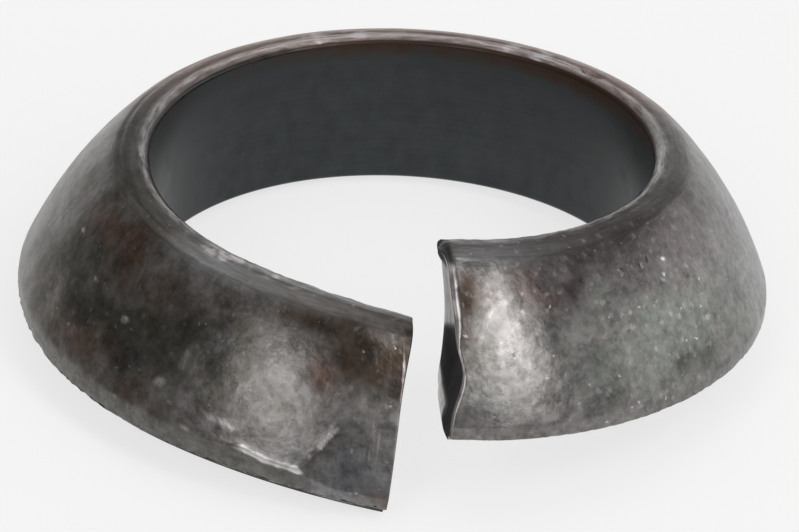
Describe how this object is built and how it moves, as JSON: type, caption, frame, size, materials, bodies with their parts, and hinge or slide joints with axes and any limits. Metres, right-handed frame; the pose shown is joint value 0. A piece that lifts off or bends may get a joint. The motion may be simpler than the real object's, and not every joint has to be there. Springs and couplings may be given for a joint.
{
  "type": "split lock washer",
  "caption": "Sprung split ring with a ball-shaped outer face, a flat seat and a plain bore, which seats and locks a nut on its stud.",
  "frame": {"origin": "on the bore's axis, level with the ring's lowest point, which is the bottom corner of its low end", "axes": "+Z along the bore's axis towards the narrow rim, -Y through the middle of the split, +X to the high end's side"},
  "size_m": [0.0338, 0.0337, 0.011],
  "materials": {
    "blackened_spring_steel": "black oxide, worn to grey on the edges, with brown rust stains"
  },
  "bodies": {
    "root": {"split_washer": "blackened_spring_steel"}
  },
  "joints": []
}
